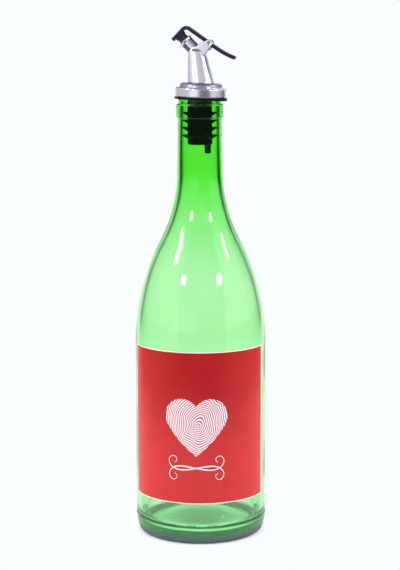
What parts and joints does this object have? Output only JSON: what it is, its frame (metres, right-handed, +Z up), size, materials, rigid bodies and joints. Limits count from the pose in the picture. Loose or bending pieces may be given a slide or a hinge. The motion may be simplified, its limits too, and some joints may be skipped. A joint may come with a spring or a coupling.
{
  "type": "oil dispenser bottle",
  "caption": "Round green glass oil bottle with a red wrap label and a push-in metal pourer: ribbed rubber stopper, slanted hollow spout and a sprung lever that lifts the seal.",
  "frame": {"origin": "centre of the bottle's standing ring, on the surface it stands on", "axes": "+Z up along the bottle's axis, -Y towards the front of the label, -X on the spout's side, +X on the handle's side"},
  "size_m": [0.08, 0.0801, 0.3098],
  "materials": {
    "green_glass": "clear green, glossy",
    "label_paper": "coated, red with a pale edge",
    "black_rubber": "satin black",
    "black_plastic": "glossy black",
    "satin_metal": "satin, turned",
    "chrome": "polished",
    "pin_steel": "brushed",
    "lever_black": "glossy black with a violet sheen",
    "seal_rubber": "satin black"
  },
  "bodies": {
    "bottle": {"bottle": "green_glass", "label": "label_paper", "stopper": "black_rubber", "air_tube": "black_plastic", "cap": "satin_metal", "spout": "chrome", "hinge_pin": "pin_steel"},
    "lever": {"lever": "lever_black", "seal": "seal_rubber"}
  },
  "joints": [
    {"name": "lever_hinge", "type": "hinge", "parent": "bottle", "child": "lever", "pos_m": [0.00616, -0.00078, 0.29943], "axis": [0.1735, 0.9848, -0.0061], "range_deg": [0, 28], "stiffness_Nm_per_rad": 0.01, "springref_deg": -20.05}
  ]
}
